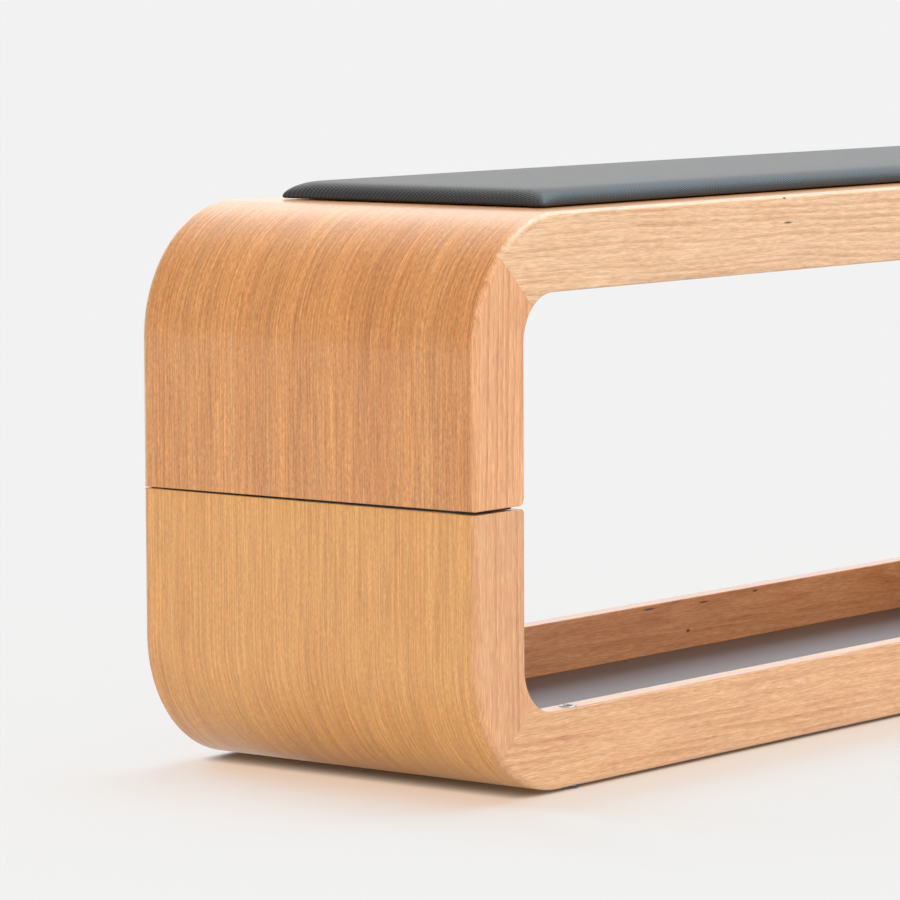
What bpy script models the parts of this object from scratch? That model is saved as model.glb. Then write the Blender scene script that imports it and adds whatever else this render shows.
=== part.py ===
"""A loop-shaped oak bench in two stacked halves, with a thin upholstered seat pad.

Frame: metres, +X along the bench, +Y to the rear, +Z up. The origin is on the floor,
under the bench's centre. Each half is a U made of two mitred solid-oak frames (front and
rear), a bent-plywood skin between them and a veneer laid over the outside, with a flat
board behind the level stretch. The upper half stands on four locating pins in the lower
half's leg ends and lifts straight off.

Half outlines are drawn once in (u, w): u runs inward from the end of the bench, and w runs
inward from the half's outer level face, up in the lower half and down in the upper half.
"""

from math import cos, pi, radians, sin, sqrt

import bmesh
import bpy

# The whole bench.
LENGTH = 1.200
DEPTH = 0.325
WOOD_HEIGHT = 0.435
GLIDE_HEIGHT = 0.002
SPLIT_GAP = 0.002
CLEAR = 0.0003

# The mitred frames.
BAND = 0.060
FRAME_THICKNESS = 0.019
OUTER_RADIUS = 0.1035
INNER_RADIUS = 0.0365
ARRIS = 0.0043
SMALL_ARRIS = 0.0020
LEG_END_FILLET = 0.0055

# Layers from the outside in.
VENEER = 0.0009
SKIN = 0.0047
SEAT_BOARD = 0.0180
TRAY_LINER = 0.0028
TRAY_FLOOR_LEVEL = 0.0163
LEG_PANEL = 0.0100
LEG_BLOCK_HEIGHT = 0.045
BATTEN_WIDTH = 0.032
BATTEN_HEIGHT = 0.020
BATTEN_PITCH = 0.270

# Locating pins between the halves.
PIN_RADIUS = 0.005
PIN_REACH = 0.024
PIN_DEPTH_FROM_FRAME = 0.040
STRIP_OUTSIDE = 0.004
STRIP_INSIDE = 0.050
STRIP_FROM_FACE = 0.0055

# Corner bolts through the lower rails, and the glides under them.
BOLT_FROM_END = 0.1245
BOLT_HEAD_RADIUS = 0.0068
BOLT_HEAD_HEIGHT = 0.0022
BOLT_SEAT = 0.0019
BOLT_RADIUS = 0.0030
BOLT_LENGTH = 0.046
KEY_RADIUS = 0.0030
KEY_DEPTH = 0.0018
NUT_RADIUS = 0.0045
NUT_LENGTH = 0.026
NUT_FLANGE_RADIUS = 0.0070
NUT_FLANGE = 0.0015
GLIDE_RADIUS = 0.0080

# The seat pad.
PAD_FROM_END = 0.128
PAD_FROM_FACE = 0.035
PAD_HEIGHT = 0.015
PAD_CLEAR = 0.0010
PAD_CORNER_RADIUS = 0.006
PAD_COVER = 0.0010
PAD_HEM = 0.022
PAD_BOARD = 0.0050
PAD_SCREW_X = 0.400
PAD_SCREW_Y = 0.090
PAD_SCREW_RADIUS = 0.0020
PAD_SCREW_HEAD_RADIUS = 0.0045
PAD_SCREW_HEAD = 0.0022

# Facets of the round shapes.
OUTER_SEGMENTS = 6
INNER_SEGMENTS = 4
FILLET_SEGMENTS = 3
ROUND_SEGMENTS = 16
SMOOTH_ANGLE = radians(32)

# Levels that follow from the sizes above.
WOOD_TOP = GLIDE_HEIGHT + WOOD_HEIGHT
HALF_HEIGHT = (WOOD_HEIGHT - SPLIT_GAP) / 2
REBATE = VENEER + CLEAR
SKIN_INSIDE = REBATE + SKIN
SEAT_BOARD_INSIDE = SKIN_INSIDE + CLEAR + SEAT_BOARD
HALF_DEPTH = DEPTH / 2
CAVITY_HALF_DEPTH = HALF_DEPTH - FRAME_THICKNESS - CLEAR
BLOCK_OUTSIDE = SKIN_INSIDE + CLEAR
BLOCK_INSIDE = BAND - LEG_PANEL - CLEAR
PIN_FROM_END = (BLOCK_OUTSIDE + BLOCK_INSIDE) / 2
PIN_Y = CAVITY_HALF_DEPTH - PIN_DEPTH_FROM_FRAME
BOLT_Y = HALF_DEPTH - FRAME_THICKNESS / 2
BOLT_X = LENGTH / 2 - BOLT_FROM_END
SPLIT_LEVEL = GLIDE_HEIGHT + HALF_HEIGHT + SPLIT_GAP / 2

SIDES = (("left", -1), ("right", 1))
FACES = (("front", -1), ("rear", 1))


def make_material(name, colour, roughness, metallic=0.0):
    made = bpy.data.materials.new(name)
    made.use_nodes = True
    shader = made.node_tree.nodes["Principled BSDF"]
    shader.inputs["Base Color"].default_value = (*colour, 1.0)
    shader.inputs["Roughness"].default_value = roughness
    shader.inputs["Metallic"].default_value = metallic
    return made


def arc(centre, radius, start, end, segments):
    """Points on a circle in a plane, from one angle to another, in degrees."""
    angles = [radians(start + (end - start) * i / segments) for i in range(segments + 1)]
    return [(centre[0] + radius * cos(a), centre[1] + radius * sin(a)) for a in angles]


def round_edge_inset(radius, distance):
    """How far a rounded edge has drawn back, at a distance in from the face it rounds."""
    if distance >= radius:
        return 0.0
    return radius - sqrt(radius**2 - (radius - distance) ** 2)


def to_xz(level, side, point):
    """A (u, w) point of the upper (+1) or lower (-1) half, at the left (-1) or right (+1) end."""
    u, w = point
    z = GLIDE_HEIGHT + w if level < 0 else WOOD_TOP - w
    return side * (LENGTH / 2 - u), z


def add_object(name, bm, material):
    bmesh.ops.remove_doubles(bm, verts=bm.verts, dist=1e-7)
    bmesh.ops.recalc_face_normals(bm, faces=bm.faces)
    mesh = bpy.data.meshes.new(name)
    bm.to_mesh(mesh)
    bm.free()
    mesh.shade_smooth()
    mesh.set_sharp_from_angle(angle=SMOOTH_ANGLE)
    mesh.materials.append(material)
    made = bpy.data.objects.new(name, mesh)
    bpy.context.scene.collection.objects.link(made)
    return made


def loft(name, rings, material):
    """A closed solid through rings of points, capped at both ends."""
    bm = bmesh.new()
    made = [[bm.verts.new(point) for point in ring] for ring in rings]
    count = len(made[0])
    bm.faces.new(made[0])
    bm.faces.new(made[-1])
    for first, second in zip(made, made[1:]):
        for i in range(count):
            j = (i + 1) % count
            bm.faces.new((first[i], first[j], second[j], second[i]))
    return add_object(name, bm, material)


def prism(name, outline, y_start, y_end, material):
    """An outline in the XZ plane, extruded along Y."""
    return loft(name, [[(x, y, z) for x, z in outline] for y in (y_start, y_end)], material)


def add_between_frames(name, outline, material):
    """An outline in the XZ plane, extruded from one frame's back to the other's."""
    return prism(name, outline, -CAVITY_HALF_DEPTH, CAVITY_HALF_DEPTH, material)


def turned(name, profile, centre, material):
    """A round piece about a vertical axis, from its (radius, height) profile."""
    rings = []
    for radius, height in profile:
        circle = arc(centre[:2], radius, 0, 360, ROUND_SEGMENTS)[:-1]
        rings.append([(x, y, centre[2] + height) for x, y in circle])
    return loft(name, rings, material)


def cut(target, cutter):
    """Takes the cutter's shape out of the target, and hides the cutter."""
    modifier = target.modifiers.new("cut_" + cutter.name, "BOOLEAN")
    modifier.operation = "DIFFERENCE"
    modifier.solver = "EXACT"
    modifier.object = cutter
    cutter.hide_render = True
    cutter.display_type = "WIRE"


# ---- the two halves' oak frames ----


def mitre_shifted(point, direction):
    """Half of the joint's clearance, across the mitre."""
    step = direction * CLEAR / 2 / sqrt(2)
    return point[0] - step, point[1] + step


def stile_outline(outer_inset, inner_inset, end_inset):
    """A leg of the frame in (u, w), from the mitre round to the split face and back."""
    end = HALF_HEIGHT - end_inset
    outer_centre = (OUTER_RADIUS, OUTER_RADIUS)
    inner_centre = (BAND + INNER_RADIUS, BAND + INNER_RADIUS)
    outer = arc(outer_centre, OUTER_RADIUS - outer_inset, 225, 180, OUTER_SEGMENTS)
    inner = arc(inner_centre, INNER_RADIUS + inner_inset, 180, 225, INNER_SEGMENTS)
    outer_fillet_centre = (outer_inset + SMALL_ARRIS, end - SMALL_ARRIS)
    inner_fillet_centre = (BAND - inner_inset - LEG_END_FILLET, end - LEG_END_FILLET)
    outer_end = arc(outer_fillet_centre, SMALL_ARRIS, 180, 90, FILLET_SEGMENTS)
    inner_end = arc(inner_fillet_centre, LEG_END_FILLET, 90, 0, FILLET_SEGMENTS)
    outer[0] = mitre_shifted(outer[0], 1)
    inner[-1] = mitre_shifted(inner[-1], 1)
    return outer + outer_end + inner_end + inner


def rail_end_outline(outer_inset, inner_inset):
    """One end of a rail in (u, w), from its outer face over the mitre to its inner face."""
    outer_centre = (OUTER_RADIUS, OUTER_RADIUS)
    inner_centre = (BAND + INNER_RADIUS, BAND + INNER_RADIUS)
    outer = arc(outer_centre, OUTER_RADIUS - outer_inset, 270, 225, OUTER_SEGMENTS)
    inner = arc(inner_centre, INNER_RADIUS + inner_inset, 225, 270, INNER_SEGMENTS)
    outer[-1] = mitre_shifted(outer[-1], -1)
    inner[0] = mitre_shifted(inner[0], -1)
    return outer + inner


def frame_sections():
    """(distance from the show face, outer inset, inner inset) of a frame's sections."""
    sections = []
    for distance in (0.0, ARRIS * (1 - sin(pi / 4)), ARRIS):
        outer = round_edge_inset(ARRIS, distance)
        sections.append((distance, outer, round_edge_inset(SMALL_ARRIS, distance)))
    sections += [(ARRIS, REBATE, 0.0), (FRAME_THICKNESS, REBATE, 0.0)]
    return sections


def add_stile(name, level, side, face, material):
    rings = []
    for distance, outer_inset, inner_inset in frame_sections():
        y = face * (HALF_DEPTH - distance)
        outline = stile_outline(outer_inset, inner_inset, inner_inset)
        corners = [to_xz(level, side, point) for point in outline]
        rings.append([(x, y, z) for x, z in corners])
    return loft(name, rings, material)


def add_rail(name, level, face, material):
    rings = []
    for distance, outer_inset, inner_inset in frame_sections():
        y = face * (HALF_DEPTH - distance)
        end = rail_end_outline(outer_inset, inner_inset)
        corners = [to_xz(level, -1, point) for point in end]
        corners += [to_xz(level, 1, point) for point in reversed(end)]
        rings.append([(x, y, z) for x, z in corners])
    return loft(name, rings, material)


def add_frames(half, level, material):
    """The front and rear frames of a half: a rail and two stiles each."""
    rails = {}
    for face_name, face in FACES:
        rails[face_name] = add_rail(f"{half}_{face_name}_rail", level, face, material)
        for side_name, side in SIDES:
            add_stile(f"{half}_{face_name}_stile_{side_name}", level, side, face, material)
    return rails


# ---- bent skins, veneers, leg boxes and boards ----


def offset_line(level, offset):
    """The half's U, drawn at a distance inside its outer face, from end to end."""
    centre = (OUTER_RADIUS, OUTER_RADIUS)
    bend = arc(centre, OUTER_RADIUS - offset, 180, 270, 2 * OUTER_SEGMENTS)
    end = [(offset, HALF_HEIGHT)] + bend
    left = [to_xz(level, -1, point) for point in end]
    return left + [to_xz(level, 1, point) for point in reversed(end)]


def add_bent_layer(name, level, outside, inside, half_width, material):
    outline = offset_line(level, outside) + offset_line(level, inside)[::-1]
    return prism(name, outline, -half_width, half_width, material)


def skin_level(u):
    """How deep inside the outer face the skin's inner side lies, at u inside the bend."""
    return OUTER_RADIUS - sqrt((OUTER_RADIUS - SKIN_INSIDE) ** 2 - (OUTER_RADIUS - u) ** 2)


def skin_reach(w):
    """How far from the bench's end the skin's inner side lies, at depth w inside the bend."""
    return OUTER_RADIUS - sqrt((OUTER_RADIUS - SKIN_INSIDE) ** 2 - (OUTER_RADIUS - w) ** 2)


def add_leg_box(half, level, material, block_material):
    """The straight inner panel of each leg, scribed to the skin, and the block in the leg's end."""
    blocks = {}
    outer_u = BAND - LEG_PANEL
    for side_name, side in SIDES:
        panel = (
            (outer_u, skin_level(outer_u) + 2 * CLEAR),
            (BAND, TRAY_FLOOR_LEVEL + 2 * CLEAR),
            (BAND, HALF_HEIGHT),
            (outer_u, HALF_HEIGHT),
        )
        block = (
            (BLOCK_OUTSIDE, HALF_HEIGHT - LEG_BLOCK_HEIGHT),
            (BLOCK_INSIDE, HALF_HEIGHT - LEG_BLOCK_HEIGHT),
            (BLOCK_INSIDE, HALF_HEIGHT),
            (BLOCK_OUTSIDE, HALF_HEIGHT),
        )
        panel_corners = [to_xz(level, side, point) for point in panel]
        add_between_frames(f"{half}_leg_panel_{side_name}", panel_corners, material)
        block_corners = [to_xz(level, side, point) for point in block]
        name = f"{half}_leg_block_{side_name}"
        blocks[side_name] = add_between_frames(name, block_corners, block_material)
    return blocks


def add_level_board(name, level, outline_end, material):
    """A board between the frames, given its end's (u, w) points from its outer to its inner face."""
    corners = [to_xz(level, -1, point) for point in outline_end]
    corners += [to_xz(level, 1, point) for point in reversed(outline_end)]
    return add_between_frames(name, corners, material)


def add_seat_board(material):
    end = ((OUTER_RADIUS, SKIN_INSIDE + CLEAR), (OUTER_RADIUS, SEAT_BOARD_INSIDE))
    return add_level_board("seat_board", 1, end, material)


def add_seat_battens(material):
    top = WOOD_TOP - SEAT_BOARD_INSIDE - CLEAR
    for index, step in enumerate((-1, 0, 1), start=1):
        left = step * BATTEN_PITCH - BATTEN_WIDTH / 2
        right = left + BATTEN_WIDTH
        bottom = top - BATTEN_HEIGHT
        outline = [(left, bottom), (right, bottom), (right, top), (left, top)]
        add_between_frames(f"seat_batten_{index}", outline, material)


def add_tray(base_material, liner_material):
    """The tray's base board on the level skin, and the grey liner that is its floor."""
    liner_bottom = TRAY_FLOOR_LEVEL - TRAY_LINER
    base_end = (
        (OUTER_RADIUS, SKIN_INSIDE + CLEAR),
        (OUTER_RADIUS, liner_bottom - CLEAR),
    )
    add_level_board("tray_base", -1, base_end, base_material)
    liner_end = (
        (skin_reach(liner_bottom - CLEAR) + CLEAR, liner_bottom),
        (max(BAND, skin_reach(TRAY_FLOOR_LEVEL)) + CLEAR, TRAY_FLOOR_LEVEL),
    )
    add_level_board("tray_liner", -1, liner_end, liner_material)


# ---- pins and spacers between the halves ----


def add_spacer_strip(side_name, side, rubber):
    """A thin rubber strip on a lower leg's end, which keeps the two halves just apart."""
    thickness = SPLIT_GAP - 2 * CLEAR
    bottom = HALF_HEIGHT + CLEAR
    corners = ((STRIP_OUTSIDE, bottom), (STRIP_INSIDE, bottom))
    corners += ((STRIP_INSIDE, bottom + thickness), (STRIP_OUTSIDE, bottom + thickness))
    outline = [to_xz(-1, side, point) for point in corners]
    reach = HALF_DEPTH - STRIP_FROM_FACE
    return prism(f"spacer_strip_{side_name}", outline, -reach, reach, rubber)


def add_pin_joint(tag, x, y, lower_block, upper_block, strip, steel):
    """A steel pin set in the lower leg's end block, and its holes in the strip and upper block."""
    centre = (x, y, SPLIT_LEVEL)
    pin_profile = [
        (PIN_RADIUS, -PIN_REACH),
        (PIN_RADIUS, PIN_REACH - SMALL_ARRIS),
        (PIN_RADIUS - SMALL_ARRIS / 2, PIN_REACH),
    ]
    turned(f"locating_pin_{tag}", pin_profile, centre, steel)
    half_hole = PIN_REACH + CLEAR
    hole_profile = [(PIN_RADIUS + CLEAR, -half_hole), (PIN_RADIUS + CLEAR, half_hole)]
    hole = turned(f"pin_hole_{tag}", hole_profile, centre, steel)
    for target in (lower_block, upper_block, strip):
        cut(target, hole)


# ---- corner bolts, sleeve nuts and glides ----


def add_corner_fixing(tag, x, y, rail, veneer, steel, nylon):
    """A bolt let into a rail's upper edge, the sleeve nut it meets, and the glide under it."""
    seat = GLIDE_HEIGHT + BAND - BOLT_SEAT
    bevel = KEY_DEPTH / 3
    bolt_profile = [
        (KEY_RADIUS, CLEAR + BOLT_HEAD_HEIGHT - KEY_DEPTH),
        (KEY_RADIUS, CLEAR + BOLT_HEAD_HEIGHT),
        (BOLT_HEAD_RADIUS - bevel, CLEAR + BOLT_HEAD_HEIGHT),
        (BOLT_HEAD_RADIUS, CLEAR + BOLT_HEAD_HEIGHT - bevel),
        (BOLT_HEAD_RADIUS, CLEAR),
        (BOLT_RADIUS, CLEAR),
        (BOLT_RADIUS, -BOLT_LENGTH),
    ]
    turned(f"corner_bolt_{tag}", bolt_profile, (x, y, seat), steel)

    bottom = (x, y, GLIDE_HEIGHT)
    bolt_bore = BOLT_RADIUS + CLEAR
    nut_profile = [
        (NUT_FLANGE_RADIUS, 0.0),
        (NUT_FLANGE_RADIUS, NUT_FLANGE),
        (NUT_RADIUS, NUT_FLANGE),
        (NUT_RADIUS, NUT_LENGTH),
        (bolt_bore, NUT_LENGTH),
        (bolt_bore, 2 * NUT_FLANGE),
    ]
    turned(f"sleeve_nut_{tag}", nut_profile, bottom, steel)
    hole_profile = [
        (NUT_FLANGE_RADIUS + CLEAR, -GLIDE_HEIGHT),
        (NUT_FLANGE_RADIUS + CLEAR, NUT_FLANGE + CLEAR),
        (NUT_RADIUS + CLEAR, NUT_FLANGE + CLEAR),
        (NUT_RADIUS + CLEAR, NUT_LENGTH + CLEAR),
        (bolt_bore, NUT_LENGTH + CLEAR),
        (bolt_bore, BAND - BOLT_SEAT),
        (BOLT_HEAD_RADIUS + CLEAR, BAND - BOLT_SEAT),
        (BOLT_HEAD_RADIUS + CLEAR, BAND + GLIDE_HEIGHT),
    ]
    hole = turned(f"bolt_hole_{tag}", hole_profile, bottom, steel)
    cut(rail, hole)
    cut(veneer, hole)

    edge = CLEAR
    glide_profile = [
        (GLIDE_RADIUS - edge, 0.0),
        (GLIDE_RADIUS, edge),
        (GLIDE_RADIUS, GLIDE_HEIGHT - CLEAR),
    ]
    turned(f"glide_{tag}", glide_profile, (x, y, 0.0), nylon)


# ---- the seat pad ----


def pad_ring(inset, z):
    """The pad's plan outline, drawn in from its edge by the inset, at a height."""
    half_length = LENGTH / 2 - PAD_FROM_END - inset
    half_width = HALF_DEPTH - PAD_FROM_FACE - inset
    radius = max(PAD_CORNER_RADIUS - inset, SMALL_ARRIS)
    ring = []
    for x_sign, y_sign, start in ((1, 1, 0), (-1, 1, 90), (-1, -1, 180), (1, -1, 270)):
        centre = (x_sign * (half_length - radius), y_sign * (half_width - radius))
        ring += arc(centre, radius, start, start + 90, INNER_SEGMENTS)
    return [(x, y, WOOD_TOP + z) for x, y in ring]


def bullnose(offset, bottom, top, segments):
    """(inset, height) pairs round the pad's edge, an offset inside the outer face."""
    half = (top - bottom) / 2
    return arc((offset + half, bottom + half), half, 270, 90, segments)


def add_pad(material_cover, material_foam, material_board):
    """A plywood board with foam on it, in a cover whose hem turns in under the board."""
    bottom = PAD_CLEAR
    inner_bottom = bottom + PAD_COVER
    inner_top = PAD_HEIGHT - PAD_COVER
    outside = bullnose(0.0, bottom, PAD_HEIGHT, 2 * INNER_SEGMENTS)
    inside = bullnose(PAD_COVER, inner_bottom, inner_top, 2 * INNER_SEGMENTS)
    profile = [(PAD_HEM, inner_bottom), (PAD_HEM, bottom)] + outside
    cover_rings = [pad_ring(inset, z) for inset, z in inside[::-1] + profile]
    loft("pad_cover", cover_rings, material_cover)

    board_top = inner_bottom + CLEAR + PAD_BOARD
    board_inset = PAD_COVER + CLEAR + (PAD_HEIGHT - 2 * PAD_COVER) / 2
    levels = (inner_bottom + CLEAR, board_top)
    board = loft("pad_board", [pad_ring(board_inset, z) for z in levels], material_board)
    foam_levels = (
        (board_inset, board_top + CLEAR),
        (board_inset, inner_top - CLEAR),
    )
    loft("pad_foam", [pad_ring(inset, z) for inset, z in foam_levels], material_foam)
    return board


def add_pad_screws(targets, steel):
    """Pan-head screws up through the seat board, skin and veneer into the pad's board."""
    under_seat = WOOD_TOP - SEAT_BOARD_INSIDE
    reach = SEAT_BOARD_INSIDE + PAD_BOARD
    profile = [
        (PAD_SCREW_HEAD_RADIUS - CLEAR, -CLEAR - PAD_SCREW_HEAD),
        (PAD_SCREW_HEAD_RADIUS, -CLEAR - PAD_SCREW_HEAD / 2),
        (PAD_SCREW_HEAD_RADIUS, -CLEAR),
        (PAD_SCREW_RADIUS, -CLEAR),
        (PAD_SCREW_RADIUS, reach),
    ]
    hole_radius = PAD_SCREW_RADIUS + CLEAR
    hole_profile = [(hole_radius, -PAD_SCREW_HEAD), (hole_radius, reach + CLEAR)]
    for face_name, face in FACES:
        for side_name, side in SIDES:
            tag = f"{face_name}_{side_name}"
            centre = (side * PAD_SCREW_X, face * PAD_SCREW_Y, under_seat)
            turned(f"pad_screw_{tag}", profile, centre, steel)
            hole = turned(f"screw_hole_{tag}", hole_profile, centre, steel)
            for target in targets:
                cut(target, hole)


def main():
    for old in list(bpy.data.objects):
        bpy.data.objects.remove(old)

    solid_oak = make_material("solid_oak", (0.78, 0.45, 0.22), 0.45)
    oak_veneer = make_material("oak_veneer", (0.72, 0.40, 0.16), 0.42)
    plywood = make_material("plywood", (0.70, 0.50, 0.30), 0.60)
    grey_laminate = make_material("grey_laminate", (0.40, 0.40, 0.42), 0.50)
    steel = make_material("zinc_steel", (0.62, 0.62, 0.60), 0.35, metallic=1.0)
    rubber = make_material("rubber", (0.03, 0.03, 0.03), 0.80)
    nylon = make_material("nylon", (0.05, 0.05, 0.05), 0.60)
    leatherette = make_material("leatherette", (0.03, 0.03, 0.035), 0.45)
    foam = make_material("foam", (0.75, 0.72, 0.55), 0.95)

    blocks = {}
    rails = {}
    skins = {}
    veneers = {}
    for half, level in (("lower", -1), ("upper", 1)):
        rails[half] = add_frames(half, level, solid_oak)
        veneers[half] = add_bent_layer(
            f"{half}_veneer", level, 0.0, VENEER, HALF_DEPTH - ARRIS - CLEAR, oak_veneer
        )
        skins[half] = add_bent_layer(
            f"{half}_skin", level, REBATE, SKIN_INSIDE, CAVITY_HALF_DEPTH, plywood
        )
        blocks[half] = add_leg_box(half, level, oak_veneer, solid_oak)

    seat_board = add_seat_board(plywood)
    add_seat_battens(solid_oak)
    add_tray(plywood, grey_laminate)
    for side_name, side in SIDES:
        strip = add_spacer_strip(side_name, side, rubber)
        pin_x = side * (LENGTH / 2 - PIN_FROM_END)
        lower_block = blocks["lower"][side_name]
        upper_block = blocks["upper"][side_name]
        for face_name, face in FACES:
            tag = f"{face_name}_{side_name}"
            add_pin_joint(tag, pin_x, face * PIN_Y, lower_block, upper_block, strip, steel)
            rail = rails["lower"][face_name]
            veneer = veneers["lower"]
            add_corner_fixing(tag, side * BOLT_X, face * BOLT_Y, rail, veneer, steel, nylon)

    pad_board = add_pad(leatherette, foam, plywood)
    add_pad_screws((seat_board, skins["upper"], veneers["upper"], pad_board), steel)


main()
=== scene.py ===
"""The looks of the loop bench: oak, laminate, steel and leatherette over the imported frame."""

from math import cos, pi, radians, sin, sqrt

import bmesh
import bpy
import numpy as np
from mathutils import Matrix, Vector


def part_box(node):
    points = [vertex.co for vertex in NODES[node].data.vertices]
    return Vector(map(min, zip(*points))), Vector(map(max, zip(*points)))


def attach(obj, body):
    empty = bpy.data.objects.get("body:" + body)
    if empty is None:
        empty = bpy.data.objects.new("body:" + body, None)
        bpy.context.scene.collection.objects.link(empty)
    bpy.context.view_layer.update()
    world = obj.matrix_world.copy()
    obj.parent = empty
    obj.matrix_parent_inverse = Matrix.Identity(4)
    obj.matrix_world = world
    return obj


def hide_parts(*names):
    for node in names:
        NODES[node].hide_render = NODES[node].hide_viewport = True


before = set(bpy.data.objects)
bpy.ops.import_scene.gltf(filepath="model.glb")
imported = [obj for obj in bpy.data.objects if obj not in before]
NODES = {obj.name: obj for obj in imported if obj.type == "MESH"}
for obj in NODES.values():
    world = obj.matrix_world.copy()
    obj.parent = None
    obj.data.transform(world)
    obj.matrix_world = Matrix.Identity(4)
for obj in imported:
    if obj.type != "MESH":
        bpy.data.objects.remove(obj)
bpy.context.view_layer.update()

# The bench repeats over two halves, two faces and two sides: their names, with a sign for each.
HALVES = (("lower", -1), ("upper", 1))
FACES = (("front", -1), ("rear", 1))
SIDES = (("left", -1), ("right", 1))
TAGS = [f"{face}_{side}" for face, _ in FACES for side, _ in SIDES]

# Levels and reaches of the CAD frame.
HALF_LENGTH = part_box("lower_veneer")[1].x
WOOD_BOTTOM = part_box("lower_veneer")[0].z
WOOD_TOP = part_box("upper_veneer")[1].z
SPLIT_LEVEL = (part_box("lower_veneer")[1].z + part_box("upper_veneer")[0].z) / 2
HALF_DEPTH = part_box("lower_rear_rail")[1].y
FRAME_THICKNESS = HALF_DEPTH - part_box("lower_rear_rail")[0].y
BAND = HALF_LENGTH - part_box("upper_leg_panel_right")[0].x
OUTER_RADIUS = HALF_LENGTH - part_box("seat_board")[1].x
INNER_RADIUS = 0.0365

# The oak's rounded edges: on the show face outside, inside and at a leg's end, and on the back.
ARRIS = 0.0043
INNER_ARRIS = 0.0022
END_ARRIS = 0.0010
BACK_ARRIS = 0.0008
# The corners of a leg's end: inside for each half, and outside on the face and on the show edge.
LEG_END_FILLETS = {-1: 0.0036, 1: 0.0060}
LEG_END_OUTER_FILLET = 0.0012
LEG_END_OUTER_ROUND = 0.0040

# The veneer's thickness, the fine lines at its edge and at the mitres, and the gap between the halves.
VENEER = 0.0009
JOINT_LINE = 0.00013
MITRE_LINE = 0.00010
FRONT_GAP = 0.0024
REAR_GAP = 0.0010

# The round seats cut for the corner bolts.
SEAT_GAP = 0.00035
SEAT_DEPTH = 0.0018

# The narrow ring that keeps a flat face flat up to its edge, and how finely curves are divided.
FLAT_MARGIN = 0.0005
ROUND_STEPS = 6
BEND_STEPS = 40
INNER_STEPS = 20
BOLT_SEGMENTS = 48


# ---- meshes ----


def add_mesh(name, points, faces, material, sharp=radians(35), grain=None, tint=None):
    """An object at the origin, with the wood's own coordinates as a point attribute."""
    mesh = bpy.data.meshes.new(name)
    mesh.from_pydata([tuple(p) for p in points], [], faces)
    mesh.update()
    bm = bmesh.new()
    bm.from_mesh(mesh)
    bmesh.ops.recalc_face_normals(bm, faces=bm.faces)
    bm.to_mesh(mesh)
    bm.free()
    if grain is not None:
        attribute = mesh.attributes.new("grain", "FLOAT_VECTOR", "POINT")
        attribute.data.foreach_set("vector", np.asarray(grain, np.float32).ravel())
    if tint is not None:
        attribute = mesh.attributes.new("tint", "FLOAT_VECTOR", "POINT")
        attribute.data.foreach_set("vector", np.tile(np.asarray(tint, np.float32), len(mesh.vertices)))
    mesh.shade_smooth()
    mesh.set_sharp_from_angle(angle=sharp)
    mesh.materials.append(material)
    made = bpy.data.objects.new(name, mesh)
    bpy.context.scene.collection.objects.link(made)
    return made


def loft_faces(rings, count):
    """A cap at each end and quads between rings of points."""
    faces = [list(range(count)), [(rings - 1) * count + i for i in range(count)]]
    for first in range(0, (rings - 1) * count, count):
        second = first + count
        for i in range(count):
            j = (i + 1) % count
            faces.append([first + i, first + j, second + j, second + i])
    return faces


def arc(centre, radius, start, end, steps):
    """Points of an arc in a plane, between two angles in degrees."""
    angles = np.radians(np.linspace(start, end, steps + 1))
    return [(centre[0] + radius * cos(a), centre[1] + radius * sin(a)) for a in angles]


def finish_piece(piece, body, slot, *nodes):
    """Puts a made piece on its body and hides the CAD nodes it stands for; the slot is not used."""
    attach(piece, body)
    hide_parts(*nodes)
    return piece


# ---- the halves' outlines, in (u, w): in from the bench's end, and in from the half's level face ----


def half_height(y):
    """From a half's level face to its leg ends: the gap between the halves narrows to the rear."""
    share = (y + HALF_DEPTH) / (2 * HALF_DEPTH)
    gap = FRONT_GAP + (REAR_GAP - FRONT_GAP) * share
    return SPLIT_LEVEL - WOOD_BOTTOM - gap / 2


def placed(level, side, u, w, y):
    """A point of a half's outline, in the frame's own coordinates."""
    z = WOOD_BOTTOM + w if level < 0 else WOOD_TOP - w
    return side * (HALF_LENGTH - u), y, z


def rounded(radius, turn):
    """(inset, distance back) of a rounded edge, at a turn from 0 on the face to 90 on the side."""
    return radius * (1 - sin(turn)), radius * (1 - cos(turn))


def frame_sections():
    """Rings from the show face to the back: per edge kind an inset and a distance from the face."""
    edges = {"outer": ARRIS, "inner": INNER_ARRIS, "end": END_ARRIS}
    sections = [{k: (r + FLAT_MARGIN, 0.0) for k, r in edges.items()}]
    for step in range(ROUND_STEPS + 1):
        turn = pi / 2 * step / ROUND_STEPS
        sections.append({k: rounded(r, turn) for k, r in edges.items()})
    level = {k: (0.0, ARRIS) for k in edges}
    sections.append(level)
    rebate = VENEER + JOINT_LINE
    sections.append({**level, "outer": (rebate, ARRIS)})
    for step in range(ROUND_STEPS // 2 + 1):
        turn = pi / 2 * (1 - step / (ROUND_STEPS // 2))
        inset, back = rounded(BACK_ARRIS, turn)
        depth = FRAME_THICKNESS - back
        sections.append({"outer": (rebate, depth), "inner": (inset, depth), "end": (inset, depth)})
    inset = BACK_ARRIS + FLAT_MARGIN
    depth = FRAME_THICKNESS
    sections.append({"outer": (rebate + FLAT_MARGIN, depth), "inner": (inset, depth), "end": (inset, depth)})
    return sections


def arc_with(centre, radius, start, end, steps, back):
    """An arc's points with one distance back, or one that changes evenly along it."""
    first, last = back if isinstance(back, tuple) else (back, back)
    backs = np.linspace(first, last, steps + 1)
    return [(u, w, b) for (u, w), b in zip(arc(centre, radius, start, end, steps), backs)]


def across_mitre(point, direction):
    """A point on the mitre, moved to its own side of the fine joint line."""
    step = direction * MITRE_LINE / 2 / sqrt(2)
    return point[0] - step, point[1] + step, point[2]


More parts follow.
